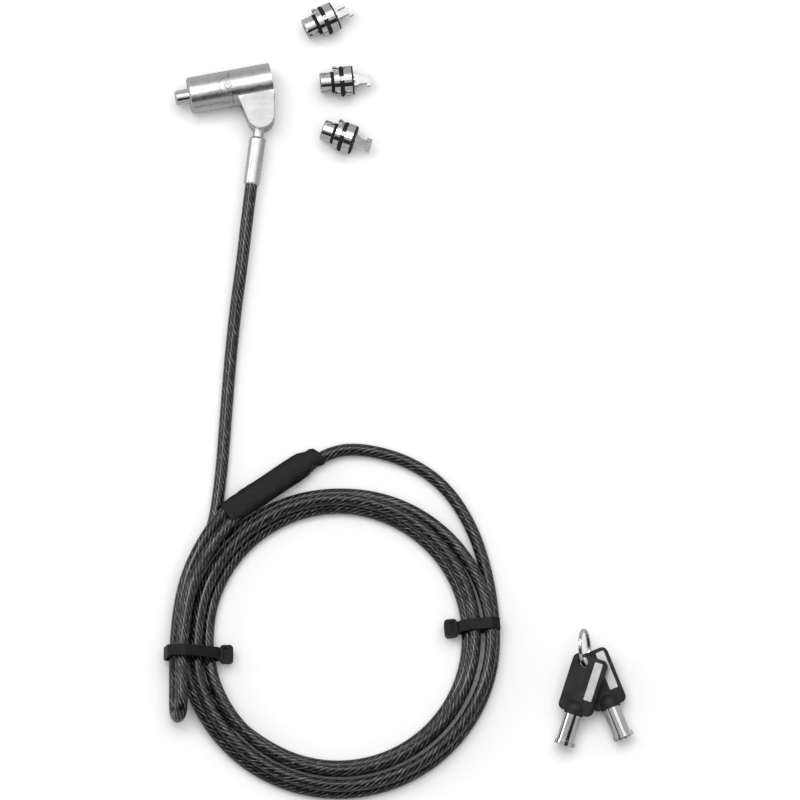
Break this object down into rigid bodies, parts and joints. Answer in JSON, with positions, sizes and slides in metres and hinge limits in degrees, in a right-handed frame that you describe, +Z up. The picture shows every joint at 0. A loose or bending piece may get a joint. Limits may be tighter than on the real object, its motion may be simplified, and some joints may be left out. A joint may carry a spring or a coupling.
{
  "type": "laptop cable lock",
  "caption": "Cable lock kit: swivelling barrel lock on a coiled, looped steel cable, with interchangeable slot tips and tubular keys on a split ring.",
  "frame": {"origin": "on the table, under the middle of the box round the rigid pieces (lock head, tips, keys)", "axes": "+Z up from the table, +Y towards the lock head, +X towards the keys"},
  "size_m": [0.1966, 0.34, 0.0172],
  "materials": {
    "satin_chrome": "satin plated zinc",
    "bright_chrome": "polished plate",
    "steel": "turned steel",
    "spring_steel": "plain wire",
    "brass": "turned brass",
    "cable_jacket": "clear vinyl over dark strand",
    "heat_shrink": "matte shrink tube",
    "crimp_alloy": "pressed",
    "tie_nylon": "moulded nylon",
    "seal_rubber": "smooth rubber",
    "key_plastic": "moulded grip",
    "key_label": "bare brushed plate"
  },
  "bodies": {
    "cable_run": {"cable_coil": "cable_jacket", "cable_lead": "cable_jacket", "cable_tail": "cable_jacket", "cable_loop": "cable_jacket", "loop_crimp": "crimp_alloy", "loop_sleeve": "heat_shrink", "tie_left_strap": "tie_nylon", "tie_left_head": "tie_nylon", "tie_right_strap": "tie_nylon", "tie_right_head": "tie_nylon", "cable_ferrule": "satin_chrome"},
    "swivel": {"swivel_stem": "satin_chrome"},
    "lock_head": {"barrel_shell": "satin_chrome", "anchor_housing": "satin_chrome", "body_rivets": "bright_chrome", "lock_cylinder": "steel", "pin_block": "steel", "driver_pins": "brass", "pin_springs": "spring_steel", "pivot_pin": "bright_chrome"},
    "rotor": {"rotor": "steel", "key_pins": "brass", "return_spring": "spring_steel"},
    "nose": {"nose": "bright_chrome", "spindle_clip": "spring_steel"},
    "tip_tbar": {"tip_tbar_body": "bright_chrome", "tip_tbar_small_seal": "seal_rubber", "tip_tbar_seal": "seal_rubber", "tip_tbar_gasket": "seal_rubber"},
    "tip_tbar_blade": {"tip_tbar_blade": "bright_chrome"},
    "tip_nano": {"tip_nano_body": "bright_chrome", "tip_nano_small_seal": "seal_rubber", "tip_nano_seal": "seal_rubber", "tip_nano_gasket": "seal_rubber"},
    "tip_nano_blade": {"tip_nano_blade": "bright_chrome"},
    "tip_wedge": {"tip_wedge_body": "bright_chrome", "tip_wedge_small_seal": "seal_rubber", "tip_wedge_seal": "seal_rubber", "tip_wedge_gasket": "seal_rubber"},
    "tip_wedge_blade": {"tip_wedge_blade": "bright_chrome"},
    "key_ring": {"key_ring": "bright_chrome"},
    "key_front": {"key_front_bow": "key_plastic", "key_front_label": "key_label", "key_front_tube": "bright_chrome"},
    "key_back": {"key_back_bow": "key_plastic", "key_back_label": "key_label", "key_back_tube": "bright_chrome"}
  },
  "joints": [
    {"name": "swivel_turn", "type": "hinge", "parent": "cable_run", "child": "swivel", "pos_m": [-0.06113, 0.1011, 0.00775], "axis": [0.1305, 0.9914, 0], "range_deg": [-90, 100]},
    {"name": "head_pivot", "type": "hinge", "parent": "swivel", "child": "lock_head", "pos_m": [-0.05996, 0.11002, 0.00775], "axis": [0, 0, 1], "range_deg": [-60, 70]},
    {"name": "rotor_turn", "type": "hinge", "parent": "lock_head", "child": "rotor", "pos_m": [-0.09011, 0.11893, 0.00775], "axis": [0.9829, 0.184, 0], "range_deg": [0, 90]},
    {"name": "nose_push", "type": "slide", "parent": "rotor", "child": "nose", "axis": [0.9829, 0.184, 0], "range_m": [0, 0.003], "stiffness_N_per_m": 300, "springref_m": -0.002},
    {"name": "tip_tbar_lift", "type": "slide", "parent": "cable_run", "child": "tip_tbar", "axis": [0, 0, 1], "range_m": [0, 0.04]},
    {"name": "tip_tbar_blade_turn", "type": "hinge", "parent": "tip_tbar", "child": "tip_tbar_blade", "pos_m": [-0.04123, 0.14775, 0.00645], "axis": [0.9003, 0.4352, 0], "range_deg": [0, 90]},
    {"name": "tip_nano_lift", "type": "slide", "parent": "cable_run", "child": "tip_nano", "axis": [0, 0, 1], "range_m": [0, 0.04]},
    {"name": "tip_nano_blade_turn", "type": "hinge", "parent": "tip_nano", "child": "tip_nano_blade", "pos_m": [-0.03493, 0.12465, 0.00645], "axis": [0.9954, 0.0958, 0], "range_deg": [0, 90]},
    {"name": "tip_wedge_lift", "type": "slide", "parent": "cable_run", "child": "tip_wedge", "axis": [0, 0, 1], "range_m": [0, 0.04]},
    {"name": "tip_wedge_blade_turn", "type": "hinge", "parent": "tip_wedge", "child": "tip_wedge_blade", "pos_m": [-0.03388, 0.10485, 0.00645], "axis": [0.9426, -0.3338, 0], "range_deg": [0, 90]},
    {"name": "key_ring_lift", "type": "slide", "parent": "cable_run", "child": "key_ring", "axis": [0, 0, 1], "range_m": [0, 0.04]},
    {"name": "key_front_swing", "type": "hinge", "parent": "key_ring", "child": "key_front", "pos_m": [0.07542, -0.1238, 0.01035], "axis": [-0.2502, -0.0973, 0.9633], "range_deg": [-60, 5]},
    {"name": "key_back_swing", "type": "hinge", "parent": "key_ring", "child": "key_back", "pos_m": [0.07642, -0.1229, 0.0061], "axis": [-0.0735, -0.0971, 0.9926], "range_deg": [-5, 60]}
  ]
}
